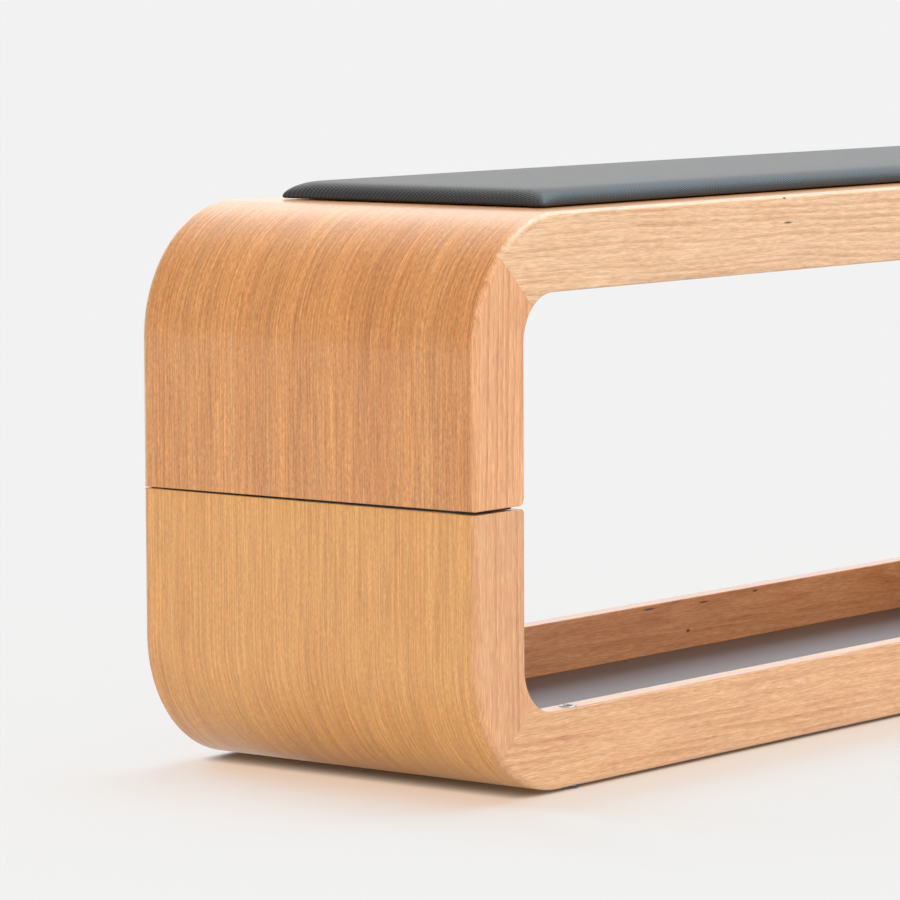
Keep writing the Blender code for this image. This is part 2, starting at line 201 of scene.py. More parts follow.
def stile_ring(section, face, level):
    """A leg of the frame, from the mitre round to the leg's end and back."""
    (outer, outer_back), (inner, inner_back) = section["outer"], section["inner"]
    end, end_back = section["end"]
    height = half_height(face * (HALF_DEPTH - end_back)) - end
    centre = (OUTER_RADIUS, OUTER_RADIUS)
    inner_centre = (BAND + INNER_RADIUS, BAND + INNER_RADIUS)
    ring = arc_with(centre, OUTER_RADIUS - outer, 225, 180, BEND_STEPS // 2, outer_back)
    rounding = max(0.0, 1 - outer_back / ARRIS) if outer < VENEER else 0.0
    small = LEG_END_OUTER_FILLET + (LEG_END_OUTER_ROUND - LEG_END_OUTER_FILLET) * rounding
    large = LEG_END_FILLETS[level]
    backs = (outer_back, end_back)
    ring += arc_with((outer + small, height - small), small, 180, 90, ROUND_STEPS, backs)
    backs = (end_back, inner_back)
    ring += arc_with((BAND - inner - large, height - large), large, 90, 0, 2 * ROUND_STEPS, backs)
    ring += arc_with(inner_centre, INNER_RADIUS + inner, 180, 225, INNER_STEPS, inner_back)
    ring[0] = across_mitre(ring[0], 1)
    ring[-1] = across_mitre(ring[-1], 1)
    return ring


def rail_end_ring(section):
    """One end of a rail, from its outer face over the mitre to its inner face."""
    (outer, outer_back), (inner, inner_back) = section["outer"], section["inner"]
    centre = (OUTER_RADIUS, OUTER_RADIUS)
    inner_centre = (BAND + INNER_RADIUS, BAND + INNER_RADIUS)
    ring = arc_with(centre, OUTER_RADIUS - outer, 270, 225, BEND_STEPS // 2, outer_back)
    ring[-1] = across_mitre(ring[-1], -1)
    inside = arc_with(inner_centre, INNER_RADIUS + inner, 225, 270, INNER_STEPS, inner_back)
    inside[0] = across_mitre(inside[0], -1)
    return ring + inside


# Where each stick of oak was sawn from its log, as (pith across, pith depth, taper, offset along),
# and the tint of its wood.
STICKS = {
    "upper_front_rail": ((-0.040, 0.030, 0.030, 0.10), (0.94, 0.85, 0.79)),
    "upper_rear_rail": ((-0.030, 0.060, -0.016, 3.40), (0.93, 0.81, 0.70)),
    "lower_front_rail": ((0.036, 0.026, -0.030, 5.20), (0.90, 0.69, 0.50)),
    "lower_rear_rail": ((0.016, 0.055, -0.020, 7.70), (0.94, 0.65, 0.49)),
    "upper_front_stile_left": ((0.050, 0.034, 0.030, 9.15), (0.93, 0.66, 0.45)),
    "upper_front_stile_right": ((-0.045, 0.040, -0.030, 11.4), (0.94, 0.77, 0.60)),
    "upper_rear_stile_left": ((0.040, 0.050, 0.020, 13.1), (0.91, 0.76, 0.60)),
    "upper_rear_stile_right": ((-0.050, 0.040, 0.024, 15.6), (0.95, 0.80, 0.66)),
    "lower_front_stile_left": ((0.058, 0.045, -0.026, 17.3), (0.87, 0.63, 0.44)),
    "lower_front_stile_right": ((-0.042, 0.048, 0.020, 19.8), (0.90, 0.70, 0.52)),
    "lower_rear_stile_left": ((0.046, 0.052, -0.020, 21.2), (0.87, 0.66, 0.48)),
    "lower_rear_stile_right": ((-0.052, 0.044, 0.022, 23.9), (0.92, 0.73, 0.56)),
}


def stick_grain(name, points):
    """(along the grain, across it, from the pith) for points of a stick of solid oak."""
    pith_across, pith_depth, taper, offset = STICKS[name][0]
    x, y, z = np.asarray(points).T
    facing = np.sign(y.mean())
    depth = facing * y - HALF_DEPTH + pith_depth
    if "rail" in name:
        along, across = x, z - (z.max() + z.min()) / 2
    else:
        along, across = z, x - x.mean()
    return np.stack([along + offset, across - pith_across, depth + taper * along], axis=1)


def add_frame_piece(name, level, face, material, side=None):
    """A rail, or a stile where a side is given, with the bolts' seats sunk into the lower rails."""
    sections = frame_sections()
    points = []
    for section in sections:
        if side is None:
            end = rail_end_ring(section)
            ring = [(-1, *place) for place in end] + [(1, *place) for place in reversed(end)]
        else:
            ring = [(side, *place) for place in stile_ring(section, face, level)]
        points += [placed(level, s, u, w, face * (HALF_DEPTH - b)) for s, u, w, b in ring]
    faces = loft_faces(len(sections), len(ring))
    if name.startswith("lower") and side is None:
        sink_bolt_seats(points, faces, len(ring), name.replace("lower_", "").replace("_rail", ""))
    grain = stick_grain(name, points)
    piece = add_mesh(name + "_oak", points, faces, material, grain=grain, tint=STICKS[name][1])
    return finish_piece(piece, name.split("_")[0] + "_half", "solid_oak", name)


def half_turn(circle, start, by_west):
    """The points of half a circle, from the one at +y or -y, by -x (west) or +x to its opposite."""
    goes_up = (start == BOLT_SEGMENTS // 4) == by_west
    step = 1 if goes_up else -1
    return [circle[(start + step * k) % BOLT_SEGMENTS] for k in range(BOLT_SEGMENTS // 2 + 1)]


def sink_bolt_seats(points, faces, count, face_name):
    """Cuts the two round seats of the corner bolts into the flat inner edge of a lower rail."""
    # the two points of a ring where the rail's ends meet, and the sections of its flat inner edge
    before = count // 2 - 1
    start = 1 + ROUND_STEPS
    end = start + 3
    for step in range(start, end):
        quad = [step * count + before, step * count + before + 1]
        quad += [(step + 1) * count + before + 1, (step + 1) * count + before]
        faces.remove(quad)
    left = [step * count + before for step in range(start, end + 1)]
    right = [step * count + before + 1 for step in range(start, end + 1)]
    level = points[left[0]][2]
    circles = []
    for side_name in ("left", "right"):
        low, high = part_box(f"corner_bolt_{face_name}_{side_name}")
        centre, radius = (low + high) / 2, (high.x - low.x) / 2 + SEAT_GAP
        circle = []
        for depth in (0.0, SEAT_DEPTH):
            circle.append([])
            for k in range(BOLT_SEGMENTS):
                turn = 2 * pi * k / BOLT_SEGMENTS
                circle[-1].append(len(points))
                points.append((centre.x + radius * cos(turn), centre.y + radius * sin(turn), level - depth))
        for k in range(BOLT_SEGMENTS):
            j = (k + 1) % BOLT_SEGMENTS
            faces.append([circle[0][k], circle[0][j], circle[1][j], circle[1][k]])
        faces.append(list(circle[1]))
        circles.append(circle[0])
    # a circle's points nearest the rail's show side, which the first section follows, and its back
    minus, plus = 3 * BOLT_SEGMENTS // 4, BOLT_SEGMENTS // 4
    show, back = (minus, plus) if face_name == "front" else (plus, minus)
    first, second = circles
    faces.append(left + half_turn(first, back, True))
    faces.append([left[-1], right[-1], second[back], first[back]])
    faces.append([left[0], right[0], second[show], first[show]])
    faces.append(half_turn(first, show, False) + half_turn(second, back, True))
    faces.append(right[::-1] + half_turn(second, show, False))


# The veneer's log: how far off its pith lies, and how its rings rise along it. Its shape: how much
# of the thickness its ends are rounded by, its lines across the depth, and its points up a leg.
VENEER_PITH = 0.9
VENEER_TAPER = 0.02
VENEER_END_ROUND = 0.95
VENEER_STATIONS = 9
LEG_STEPS = 8


def veneer_line(y, inset, end_inset):
    """One leg and bend of a half in (u, w), drawn inset from the outer face."""
    height = half_height(y) - end_inset
    straight = [(inset, w) for w in np.linspace(height, OUTER_RADIUS, LEG_STEPS)[:-1]]
    bend = arc((OUTER_RADIUS, OUTER_RADIUS), OUTER_RADIUS - inset, 180, 270, BEND_STEPS)
    return straight + bend


def add_veneer(half, level, material, offset, tint):
    """The thin oak skin over a half's outside, its ends rounded over at the split."""
    name = half + "_veneer"
    edge_y = HALF_DEPTH - ARRIS - JOINT_LINE
    stations = np.linspace(-edge_y, edge_y, VENEER_STATIONS)
    points, grain = [], []
    corner = VENEER * VENEER_END_ROUND
    for y in stations:
        end = []
        for step in range(ROUND_STEPS + 1):
            inset, back = rounded(corner, pi / 2 * step / ROUND_STEPS)
            end.append((inset, half_height(y) - back))
        # the rounded left end and the outer side first, and then the inner side back again
        outer = end + veneer_line(y, 0.0, corner)[1:]
        inner = veneer_line(y, VENEER, 0.0)[1:]
        ring = [(-1, *place) for place in outer] + [(1, *place) for place in reversed(outer)]
        ring += [(1, *place) for place in inner] + [(-1, *place) for place in reversed(inner)]
        for side, u, w in ring:
            points.append(placed(level, side, u, w, y))
            along = along_bend(side, u, w)
            grain.append((along + offset, y + VENEER_PITH, VENEER_TAPER * along))
    faces = loft_faces(len(stations), len(ring))
    piece = add_mesh(name + "_oak", points, faces, material, grain=grain, tint=tint)
    return finish_piece(piece, half + "_half", "oak_veneer", name)


def along_bend(side, u, w):
    """Length along the half's outside from the middle of its level face."""
    level_length = HALF_LENGTH - OUTER_RADIUS
    if u >= OUTER_RADIUS:
        return side * (HALF_LENGTH - u)
    if w >= OUTER_RADIUS:
        return side * (level_length + OUTER_RADIUS * pi / 2 + w - OUTER_RADIUS)
    turn = np.arctan2(OUTER_RADIUS - u, OUTER_RADIUS - w)
    return side * (level_length + OUTER_RADIUS * turn)


# ---- materials ----


class Shader:
    """A procedural material, put together by short calls."""

    def __init__(self, name):
        self.material = bpy.data.materials.new(name)
        self.material.use_nodes = True
        self.tree = self.material.node_tree
        self.surface = self.tree.nodes["Principled BSDF"]

    def put(self, socket, value):
        """Links a socket's value, or sets a constant one."""
        if isinstance(value, bpy.types.NodeSocket):
            self.tree.links.new(value, socket)
        else:
            socket.default_value = value

    def set(self, **values):
        """Sets the surface's own sockets, by name with underscores for spaces."""
        for name, value in values.items():
            self.put(self.surface.inputs[name.replace("_", " ")], value)

    def node(self, kind, *inputs, **settings):
        """A node with its first inputs put in order, where None leaves one as it is."""
        made = self.tree.nodes.new(kind)
        for name, value in settings.items():
            setattr(made, name, value)
        for socket, value in zip(made.inputs, inputs):
            if value is not None:
                self.put(socket, value)
        return made

    def math(self, operation, a, b=0.0, c=0.0):
        return self.node("ShaderNodeMath", a, b, c, operation=operation).outputs[0]

    def vector(self, operation, a, b=None, c=None):
        made = self.node("ShaderNodeVectorMath", a, b, c, operation=operation)
        return made.outputs["Value" if operation == "LENGTH" else "Vector"]

    def attribute(self, name):
        return self.node("ShaderNodeAttribute", attribute_name=name).outputs["Vector"]

    def place(self):
        """The place on a piece, in its own coordinates."""
        return self.node("ShaderNodeTexCoord").outputs["Object"]

    def noise_node(self, where, scale, detail, roughness):
        """Noise; scale is one number, or one for each axis."""
        if isinstance(scale, tuple):
            where, scale = self.vector("MULTIPLY", where, scale), 1.0
        made = self.node("ShaderNodeTexNoise")
        self.put(made.inputs["Vector"], where)
        for key, value in (("Scale", scale), ("Detail", detail), ("Roughness", roughness)):
            made.inputs[key].default_value = value
        return made

    def noise(self, where, scale, detail=2.0, roughness=0.5):
        """Noise from 0 to 1."""
        return self.noise_node(where, scale, detail, roughness).outputs[0]

    def noise_colour(self, where, scale, detail=2.0, roughness=0.5):
        """Three independent noises, each from -0.5 to 0.5, as one vector."""
        made = self.noise_node(where, scale, detail, roughness)
        return self.vector("SUBTRACT", made.outputs["Color"], (0.5, 0.5, 0.5))

    def knot(self, grain, along, across, length, width):
        """A mask for a pin knot or dark streak at a place in the wood's own coordinates."""
        away = self.vector("SUBTRACT", grain, (along, across, 0.0))
        away = self.vector("MULTIPLY", away, (1.0 / length, 1.0 / width, 0.0))
        ragged = self.noise(grain, (160.0, 900.0, 900.0), 2.0, 0.6)
        distance = self.math("MULTIPLY_ADD", ragged, 0.9, self.vector("LENGTH", away))
        return self.step(distance, 0.75, 1.45, 1.0, 0.0)

    def sway(self, colour, noise, reach):
        """The colour made lighter and darker by a noise, by a different reach for each channel."""
        centred = self.math("SUBTRACT", noise, 0.5)
        return self.vector("MULTIPLY", colour, self.vector("MULTIPLY_ADD", centred, reach, (1.0, 1.0, 1.0)))

    def line_noise(self, value, scale, detail):
        """Noise from 0 to 1 along one number."""
        made = self.node("ShaderNodeTexNoise", noise_dimensions="1D")
        self.put(made.inputs["W"], value)
        made.inputs["Scale"].default_value = scale
        made.inputs["Detail"].default_value = detail
        return made.outputs[0]

    def step(self, value, low, high, start=0.0, end=1.0, kind="SMOOTHSTEP"):
        """Goes from start to end as the value goes from low to high."""
        made = self.node("ShaderNodeMapRange", interpolation_type=kind)
        for socket, each in zip(made.inputs, (value, low, high, start, end)):
            self.put(socket, each)
        return made.outputs[0]

    def mix(self, factor, a, b, blend="MIX"):
        made = self.node("ShaderNodeMix", data_type="RGBA", blend_type=blend)
        self.put(made.inputs[0], factor)
        for socket, colour in ((made.inputs[6], a), (made.inputs[7], b)):
            self.put(socket, colour if isinstance(colour, bpy.types.NodeSocket) else (*colour, 1.0))
        return made.outputs[2]

    def scale_colour(self, colour, factor):
        made = self.node("ShaderNodeVectorMath", operation="SCALE")
        self.put(made.inputs[0], colour)
        self.put(made.inputs["Scale"], factor)
        return made.outputs[0]

    def bump(self, height, distance, strength):
        """Relief in the surface: the height of a full step in metres, and how far it shows."""
        made = self.node("ShaderNodeBump")
        made.inputs["Strength"].default_value = strength
        made.inputs["Distance"].default_value = distance
        self.put(made.inputs["Height"], height)
        self.put(self.surface.inputs["Normal"], made.outputs[0])


KNOT_COLOUR = (0.16, 0.11, 0.09)


def oak(name, look, coordinates=None):
    """Oak: growth rings round a pith, long and short streaks, pores, knots and slow tones."""
    s = Shader(name)
    straight = s.attribute("grain") if coordinates is None else coordinates(s)
    drift = s.noise_colour(straight, look["drift_scale"], 2.0, 0.55)
    grain = s.vector("MULTIPLY_ADD", drift, (0.0, look["drift"], look["drift"]), straight)
    wander = s.noise(straight, look["wander_scale"], 1.5, 0.5)
    radius = s.vector("LENGTH", s.vector("MULTIPLY", grain, (0.0, 1.0, 1.0)))
    radius = s.math("MULTIPLY_ADD", wander, look["wander"], radius)
    phase = s.math("MULTIPLY", radius, 1.0 / look["ring"])
    phase = s.math("MULTIPLY_ADD", s.line_noise(radius, 0.16 / look["ring"], 1.0), 3.0, phase)
    part = s.math("FRACT", phase)
    each = s.node("ShaderNodeTexWhiteNoise", noise_dimensions="1D")
    s.put(each.inputs["W"], s.math("FLOOR", phase))
    strength = s.step(each.outputs[0], 0.0, 1.0, look["weakest"], 1.0, "LINEAR")
    broken = s.step(s.noise(grain, look["break_scale"], 2.0, 0.6), 0.30, 0.62)
    early = s.math("MULTIPLY", s.step(part, 0.0, look["early_start"]), s.step(part, look["early_top"], 1.0, 1.0, 0.0))
    early = s.math("MULTIPLY", s.math("MULTIPLY", early, strength), broken)
    long_streak = s.noise(grain, look["long_scale"], 2.0, 0.55)
    short_streak = s.noise(grain, look["short_scale"], 2.0, 0.6)
    pores = s.step(s.noise(grain, look["pore_scale"], 1.0, 0.5), 0.58, 0.74)
    # pores gather in the early wood
    pores = s.math("MULTIPLY", pores, s.math("MULTIPLY_ADD", early, 0.65, 0.35))
    slow = s.noise(straight, look["tone_scale"], 2.0, 0.5)
    hue = s.noise(straight, look["hue_scale"], 2.0, 0.5)

    base = s.mix(s.math("MULTIPLY", early, look["early_mix"]), look["late"], look["early"])
    base = s.sway(base, long_streak, look["long"])
    base = s.sway(base, short_streak, look["short"])
    base = s.sway(base, slow, look["tone"])
    base = s.sway(base, hue, look["hue"])
    base = s.mix(s.math("MULTIPLY", pores, look["pore"]), base, look["pore_colour"], "MULTIPLY")
    for knot in look["knots"]:
        base = s.mix(s.knot(straight, *knot), base, KNOT_COLOUR, "MULTIPLY")
    if coordinates is None:
        base = s.vector("MULTIPLY", base, s.attribute("tint"))
    s.set(Base_Color=base, IOR=1.48, Coat_Weight=look["coat"], Coat_Roughness=0.22, Coat_IOR=1.5)
    rough = s.math("MULTIPLY_ADD", pores, 0.12, look["roughness"])
    s.set(Roughness=s.math("MULTIPLY_ADD", short_streak, 0.12, rough))
    height = s.math("MULTIPLY_ADD", pores, -1.0, s.math("MULTIPLY", short_streak, 0.6))
    s.bump(height, 0.00010, look["bump"])
    return s.material


# Oak looks. Colours are linear; scales are per metre along, across and from the pith; "drift",
# "wander" and "ring" are lengths; "long", "short", "tone" and "hue" say how far each channel sways;
# a knot is (along, across, length, width) in the wood's own coordinates.
SOLID_LOOK = {
    "late": (0.720, 0.455, 0.255),
    "early": (0.560, 0.275, 0.110),
    "drift_scale": (4.0, 36.0, 36.0),
    "drift": 0.0050,
    "wander_scale": (3.6, 14.0, 14.0),
    "wander": 0.014,
    "ring": 0.0050,
    "weakest": 0.35,
    "early_start": 0.16,
    "early_top": 0.26,
    "early_mix": 0.85,
    "break_scale": (6.0, 60.0, 60.0),
    "long_scale": (20.0, 560.0, 560.0),
    "long": (0.42, 0.56, 0.74),
    "short_scale": (84.0, 1150.0, 1150.0),
    "short": (0.80, 1.06, 1.35),
    "pore_scale": (90.0, 900.0, 900.0),
    "pore": 0.55,
    "pore_colour": (0.62, 0.52, 0.44),
    "tone_scale": (1.6, 14.0, 14.0),
    "tone": (0.14, 0.18, 0.22),
    "hue_scale": (5.0, 60.0, 60.0),
    "hue": (-0.05, 0.10, 0.22),
    "roughness": 0.36,
    "coat": 0.60,
    "bump": 0.25,
    "knots": (
        (-0.097, 0.0535, 0.008, 0.0014),
        (-0.101, 0.073, 0.003, 0.0014),
        (7.796, -0.020, 0.004, 0.0018),
        (7.738, 0.005, 0.014, 0.0012),
        (7.820, 0.003, 0.010, 0.0011),
        (7.899, 0.005, 0.005, 0.0013),
    ),
}
VENEER_LOOK = {
    **SOLID_LOOK,
    "knots": (),
    "late": (0.700, 0.325, 0.102),
    "early": (0.560, 0.230, 0.062),
    "drift_scale": (1.6, 30.0, 30.0),
    "drift": 0.0030,
    "wander_scale": (0.9, 9.0, 9.0),
    "wander": 0.006,
    "ring": 0.0036,
    "weakest": 0.10,
    "early_start": 0.30,
    "early_top": 0.45,
    "early_mix": 0.55,
    "break_scale": (3.0, 160.0, 160.0),
    "long_scale": (6.0, 660.0, 660.0),
    "long": (0.76, 1.00, 1.22),
    "short_scale": (250.0, 900.0, 900.0),
    "short": (0.60, 0.80, 0.98),
    "pore_scale": (55.0, 1100.0, 1100.0),
    "tone_scale": (0.7, 30.0, 30.0),
    "tone": (0.12, 0.20, 0.26),
    "hue_scale": (1.5, 70.0, 70.0),
    "hue": (-0.06, 0.08, 0.20),
}
STREAKED_LOOK = {
    **VENEER_LOOK,
    "long": (0.95, 1.25, 1.50),
    "short": (0.95, 1.25, 1.45),
    "tone": (0.36, 0.50, 0.62),
    "hue": (-0.12, 0.14, 0.34),
}
PLY_LOOK = {
    **VENEER_LOOK,
    "late": (0.66, 0.50, 0.33),
    "early": (0.56, 0.38, 0.22),
    "ring": 0.006,
    "wander": 0.03,
    "coat": 0.0,
}
HIDDEN_LOG = (2.7, 0.6, 0.08)


def place_as_grain(along, across, depth):
    """Grain coordinates for a CAD node, from its place: the axes along, across and into the grain."""
    pick = {"x": (1, 0, 0), "y": (0, 1, 0), "z": (0, 0, 1)}

    def coordinates(s):
        where = s.place()
        parts = [
            s.node("ShaderNodeVectorMath", where, pick[axis], operation="DOT_PRODUCT").outputs["Value"]
            for axis in (along, across, depth)
        ]
        shifted = [s.math("ADD", part, offset) for part, offset in zip(parts, HIDDEN_LOG)]
        return s.node("ShaderNodeCombineXYZ", *shifted).outputs[0]

    return coordinates


def speckled(name, colour, second, scale, roughness, bump, distance=0.0001, ior=1.5):
    """A fine two-tone mottle with a matching relief, for laminate, rubber, nylon and foam."""
    s = Shader(name)
    where = s.place()
    fine = s.noise(where, scale, 3.0, 0.6)
    broad = s.noise(where, scale * 0.03, 2.0, 0.5)
    base = s.mix(s.step(fine, 0.35, 0.65), colour, second)
    base = s.scale_colour(base, s.math("MULTIPLY_ADD", broad, 0.14, 0.93))
    s.set(Base_Color=base, IOR=ior)
    s.set(Roughness=s.math("MULTIPLY_ADD", fine, 0.14, roughness - 0.07))
    s.bump(fine, distance, bump)
    return s.material


# Ridges of the leatherette's weave, in turns of the cover's plan coordinates.
WEAVE = 2 * pi / 0.0040


def make_leatherette():
    """Black embossed leatherette: a fine diagonal weave pressed into a satin skin."""
    s = Shader("leatherette_weave")
    where = s.attribute("weave")
    parts = s.node("ShaderNodeSeparateXYZ", where)
    along = s.math("MULTIPLY", s.math("SUBTRACT", parts.outputs[0], parts.outputs[1]), WEAVE)
    across = s.math("MULTIPLY", s.math("ADD", parts.outputs[0], parts.outputs[1]), WEAVE)
    ridges = s.math("MULTIPLY_ADD", s.math("SINE", across), 0.5, 0.5)
    notches = s.math("MULTIPLY_ADD", s.math("SINE", along), 0.5, 0.5)
    weave = s.math("MULTIPLY", ridges, s.math("MULTIPLY_ADD", notches, 0.45, 0.55))
    grain = s.noise(where, 900.0, 2.0, 0.6)
    broad = s.noise(where, 14.0, 2.0, 0.5)
    base = s.mix(weave, (0.012, 0.012, 0.013), (0.046, 0.045, 0.045))
    base = s.scale_colour(base, s.math("MULTIPLY_ADD", broad, 0.4, 0.8))
    s.set(Base_Color=base, IOR=1.5)
    s.set(Roughness=s.math("MULTIPLY_ADD", grain, 0.12, 0.38))
    s.bump(s.math("MULTIPLY_ADD", grain, 0.2, weave), 0.00030, 0.8)
    return s.material


def make_steel():
    """Zinc-plated steel, with fine turning marks and a few handling scratches."""
    s = Shader("zinc_plate")
    where = s.place()
    mottle = s.noise(where, 900.0, 3.0, 0.6)
    scratch = s.noise(where, (300.0, 4200.0, 900.0), 2.0, 0.6)
    base = s.mix(s.step(mottle, 0.3, 0.7), (0.36, 0.35, 0.34), (0.52, 0.52, 0.51))
    s.set(Base_Color=base, Metallic=1.0)
    s.set(Roughness=s.math("MULTIPLY_ADD", scratch, 0.25, 0.20))
    s.bump(scratch, 0.00004, 0.4)
    return s.material


def dress(material, *names):
    """Gives CAD nodes that are shown as they are a material."""
    for name in names:
        for each in NODES[name].material_slots:
            each.material = material


SOLID = oak("solid_oak_flat_sawn", SOLID_LOOK)
VENEERED = oak("oak_veneer_straight", VENEER_LOOK)
STREAKED = oak("oak_veneer_streaked", STREAKED_LOOK)

for half, level in HALVES:
    for face_name, face in FACES:
        add_frame_piece(f"{half}_{face_name}_rail", level, face, SOLID)
        for side_name, side in SIDES:
            add_frame_piece(f"{half}_{face_name}_stile_{side_name}", level, face, SOLID, side)
add_veneer("lower", -1, VENEERED, 2.0, (0.96, 0.94, 0.79))
add_veneer("upper", 1, STREAKED, 6.5, (0.86, 0.75, 0.66))

PANEL = oak("oak_panel", VENEER_LOOK, place_as_grain("z", "y", "x"))
dress(PANEL, *[f"{half}_leg_panel_{side}" for half, _ in HALVES for side, _ in SIDES])
BLOCK = oak("oak_block", SOLID_LOOK, place_as_grain("y", "x", "z"))
dress(BLOCK, *[f"{half}_leg_block_{side}" for half, _ in HALVES for side, _ in SIDES])
dress(BLOCK, "seat_batten_1", "seat_batten_2", "seat_batten_3")
PLYWOOD = oak("birch_plywood", PLY_LOOK, place_as_grain("x", "y", "z"))
dress(PLYWOOD, "lower_skin", "upper_skin", "seat_board", "tray_base", "pad_board")
LAMINATE = speckled("grey_laminate_satin", (0.044, 0.044, 0.050), (0.066, 0.066, 0.074), 1400.0, 0.34, 0.10, ior=1.45)
dress(LAMINATE, "tray_liner")
STEEL = make_steel()
dress(STEEL, *[f"{kind}_{tag}" for kind in ("locating_pin", "sleeve_nut", "pad_screw") for tag in TAGS])
RUBBER = speckled("spacer_rubber", (0.020, 0.020, 0.020), (0.040, 0.039, 0.038), 1600.0, 0.75, 0.4)
dress(RUBBER, "spacer_strip_left", "spacer_strip_right")
NYLON = speckled("glide_nylon", (0.030, 0.030, 0.031), (0.050, 0.050, 0.052), 900.0, 0.50, 0.25)
dress(NYLON, *[f"glide_{tag}" for tag in TAGS])
FOAM = speckled("cut_foam", (0.72, 0.68, 0.50), (0.60, 0.56, 0.40), 700.0, 0.95, 0.8, 0.0004)
dress(FOAM, "pad_foam")


# ---- corner bolts ----


# The hexagon socket: half its width across flats, its depth, its slight taper, its edge's width and
# fall, and the small flat at its middle.
SOCKET = 0.0036
SOCKET_DEPTH = 0.0018
SOCKET_TAPER = 0.985
SOCKET_EDGE, SOCKET_EDGE_FALL = 0.00025, 0.0002
SOCKET_MIDDLE = 0.0004
# The head's rounded edge and the flat ring inside it, its thickness, and the shank's radius.
HEAD_ROUND, HEAD_ROUND_STEPS = 0.0007, 4
HEAD_MARGIN = 0.0006
HEAD_THICKNESS = 0.0022
SHANK = 0.0030


def add_bolt(tag):
    """A flat-headed bolt with a hexagon socket, let into the rail's inner edge."""
    name = f"corner_bolt_{tag}"
    low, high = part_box(name)
    centre = (low + high) / 2
    head = (high.x - low.x) / 2
    # from the socket's middle over the head and down the shank: radius, height, whether six-sided
    profile = [
        (SOCKET_MIDDLE, -SOCKET_DEPTH, True),
        (SOCKET * SOCKET_TAPER, -SOCKET_DEPTH, True),
        (SOCKET, -SOCKET_EDGE_FALL, True),
        (SOCKET + SOCKET_EDGE, 0.0, True),
        (head - HEAD_ROUND - HEAD_MARGIN, 0.0, False),
    ]
    for step in range(HEAD_ROUND_STEPS + 1):
        inset, back = rounded(HEAD_ROUND, pi / 2 * step / HEAD_ROUND_STEPS)
        profile.append((head - inset, -back, False))
    profile += [
        (head, -HEAD_THICKNESS, False),
        (SHANK, -HEAD_THICKNESS, False),
        (SHANK, low.z - high.z, False),
    ]
    points = []
    for radius, height, hexagon in profile:
        for k in range(BOLT_SEGMENTS):
            turn = 2 * pi * k / BOLT_SEGMENTS
            reach = radius / cos((turn + pi / 6) % (pi / 3) - pi / 6) if hexagon else radius
            points.append((centre.x + reach * cos(turn), centre.y + reach * sin(turn), high.z + height))
    faces = loft_faces(len(profile), BOLT_SEGMENTS)
    piece = add_mesh(name + "_steel", points, faces, STEEL, sharp=radians(40))
    return finish_piece(piece, "lower_half", "zinc_steel", name)


for tag in TAGS:
    add_bolt(tag)


# ---- the seat pad ----


# The pad's edge, from under the hem round to the crown: inset, and height over the pad's underside,
# in mm. Then the entry at which it is widest, and its corners in plan.
PAD_EDGE = (
    (22.0, 0.1), (8.0, 0.0), (3.0, 0.0), (1.5, 0.2), (0.6, 0.7), (0.1, 1.5), (0.0, 2.6), (0.2, 3.9), (0.7, 5.3),
    (1.5, 6.8), (2.6, 8.2), (3.9, 9.5), (5.5, 10.7), (7.4, 11.7), (9.6, 12.4), (12.4, 12.9), (16.0, 13.2),
    (21.0, 13.4), (28.0, 13.55), (38.0, 13.7), (52.0, 13.8),
)
PAD_WIDEST = 6
PAD_CORNER, PAD_CORNER_LEAST = 0.005, 0.0015
PAD_CORNER_STEPS = 6
PAD_ALONG, PAD_ACROSS = 150, 30

# How the stitches draw the cover: each as a reach from the corner or edge, and a distance moved.
CORNER_DIP_REACH, CORNER_DIP = 0.016, 0.0042
CORNER_PULL_REACH, CORNER_PULL = 0.012, 0.0016
SIDE_DRAW_REACH, SIDE_DRAW = 0.03, 0.0007
CROWN_FROM, CROWN = 0.8, 0.0006


def pad_ring(inset, z, high):
    """The pad's plan outline at an inset, evenly divided between its rounded corners."""
    reach = (high.x - inset, high.y - inset)
    r = max(PAD_CORNER - inset * 0.5, PAD_CORNER_LEAST)
    corners = ((1, -1, 270), (1, 1, 0), (-1, 1, 90), (-1, -1, 180))
    bends = [arc((sx * (reach[0] - r), sy * (reach[1] - r)), r, a, a + 90, PAD_CORNER_STEPS) for sx, sy, a in corners]
    ring = []
    for index, bend in enumerate(bends):
        ring += bend
        following = bends[(index + 1) % 4][0]
        count = PAD_ACROSS if index % 2 == 0 else PAD_ALONG
        for k in range(1, count):
            share = k / count
            ring.append(tuple(a + (b - a) * share for a, b in zip(bend[-1], following)))
    return [(x, y, z) for x, y in ring]


def drawn(points, low, high):
    """The stitched corners pull out and down, the sides draw in between them, and the top swells."""
    points = np.array(points)
    reach = np.array([high.x, high.y])
    from_edge = reach - np.abs(points[:, :2])
    from_corner = np.hypot(from_edge[:, 0], from_edge[:, 1])
    height = (points[:, 2] - low.z) / (high.z - low.z)
    dip = np.exp(-((from_corner / CORNER_DIP_REACH) ** 2))
    points[:, 2] -= dip * height * CORNER_DIP
    outward = np.sign(points[:, :2]) * np.exp(-((from_corner / CORNER_PULL_REACH) ** 2))[:, None]
    points[:, :2] += outward * CORNER_PULL
    middle = 1 - (points[:, :2] / reach) ** 2
    side = np.exp(-((from_edge / SIDE_DRAW_REACH) ** 2)) * np.sign(points[:, :2])
    points[:, 0] -= side[:, 0] * middle[:, 1] * SIDE_DRAW
    points[:, 1] -= side[:, 1] * middle[:, 0] * SIDE_DRAW
    crown = (1 - (np.abs(points[:, 0]) / high.x) ** 3) * (1 - (np.abs(points[:, 1]) / high.y) ** 2)
    points[:, 2] += crown * (height > CROWN_FROM) * CROWN
    return points


